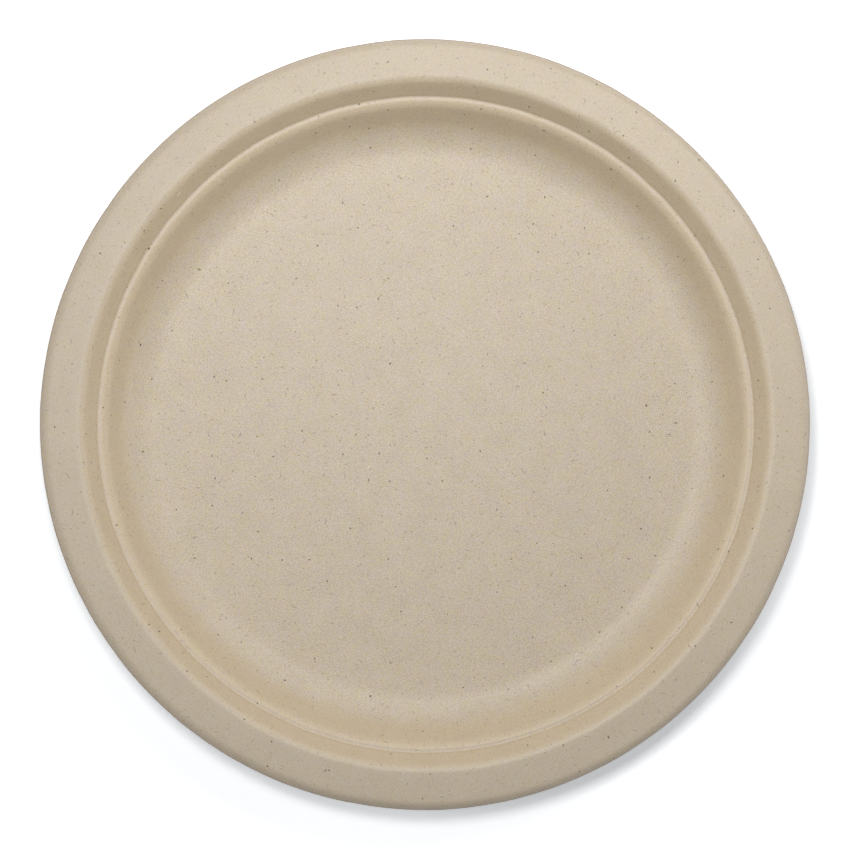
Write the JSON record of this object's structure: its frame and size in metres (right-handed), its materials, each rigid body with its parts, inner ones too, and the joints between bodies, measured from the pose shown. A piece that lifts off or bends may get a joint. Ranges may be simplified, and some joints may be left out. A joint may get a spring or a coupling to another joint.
{
  "type": "moulded fibre plate",
  "caption": "Round one-piece plate of pressed plant fibre, with a flat well, a narrow stacking step and a broad rim whose edge turns down.",
  "frame": {"origin": "centre of the flat underside that the plate rests on", "axes": "+Z is the plate's axis and points up out of the well; the plate is round, so X and Y lie anywhere in the resting plane"},
  "size_m": [0.254, 0.254, 0.019],
  "materials": {
    "moulded_fibre": "unbleached plant fibre, hot-pressed smooth, with a faint sheen"
  },
  "bodies": {
    "root": {"plate": "moulded_fibre"}
  },
  "joints": []
}
